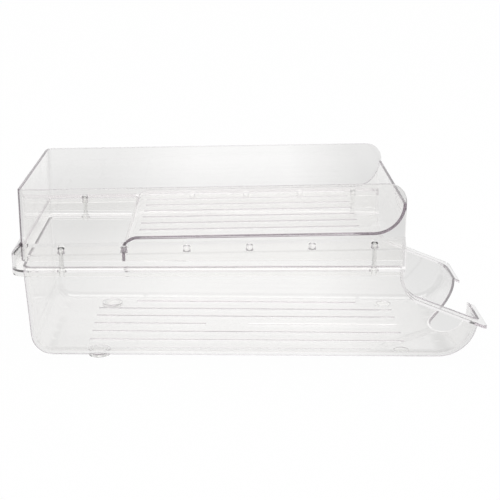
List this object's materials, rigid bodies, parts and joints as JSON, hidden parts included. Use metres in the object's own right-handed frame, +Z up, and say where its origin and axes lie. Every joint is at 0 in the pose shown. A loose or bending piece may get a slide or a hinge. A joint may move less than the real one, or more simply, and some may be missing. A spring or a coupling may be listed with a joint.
{
  "type": "roll-down can organizer",
  "caption": "Clear stacked bin for drink cans in a fridge: cans load on the upper tier, drop at its rear and roll forward to a scooped front with a finger cut-out.",
  "frame": {"origin": "on the shelf that the feet rest on, under the middle of the bin's length and width", "axes": "+X from the rear to the scooped front, +Y to the left across the bin, +Z up"},
  "size_m": [0.3404, 0.152, 0.1338],
  "materials": {
    "clear_plastic": "clear, polished",
    "clear_pin": "clear, polished",
    "foot_pad": "clear, satin"
  },
  "bodies": {
    "root": {"lower_bin": "clear_plastic", "foot_pad_rear_right": "foot_pad", "foot_pad_rear_left": "foot_pad", "foot_pad_front_right": "foot_pad", "foot_pad_front_left": "foot_pad"},
    "upper_tier": {"upper_bin": "clear_plastic", "snap_pin_rear_right": "clear_pin", "snap_pin_rear_left": "clear_pin", "snap_pin_front_right": "clear_pin", "snap_pin_front_left": "clear_pin"}
  },
  "joints": [
    {"name": "upper_tier_lift", "type": "slide", "parent": "root", "child": "upper_tier", "axis": [0, 0, 1], "range_m": [0, 0.04]}
  ]
}
